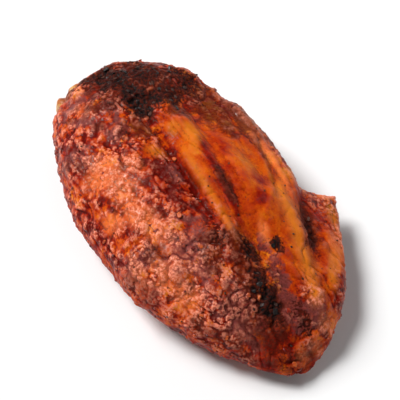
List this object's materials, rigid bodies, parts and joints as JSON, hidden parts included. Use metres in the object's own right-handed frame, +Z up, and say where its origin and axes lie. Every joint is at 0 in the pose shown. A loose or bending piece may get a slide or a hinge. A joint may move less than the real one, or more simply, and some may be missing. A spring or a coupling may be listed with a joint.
{
  "type": "chicken wing",
  "caption": "Roasted chicken wing flat with crisp, charred and glazed skin, a furrowed upper side, a loose skin flap and its bone heads showing at the cut joint.",
  "frame": {"origin": "on the resting plane, under the middle of the wing's box", "axes": "+Z up through the shown side; +X along the wing from the elbow end to the wrist end; +Y towards the flatter side with the loose flap of skin"},
  "size_m": [0.0866, 0.051, 0.0232],
  "materials": {
    "roast_skin": "crisp roasted chicken skin with a thin oily glaze, charred in patches",
    "bone": "cooked bone and gristle, cream to amber, satin"
  },
  "bodies": {
    "root": {"wing": "roast_skin", "ulna": "bone", "radius": "bone"}
  },
  "joints": []
}
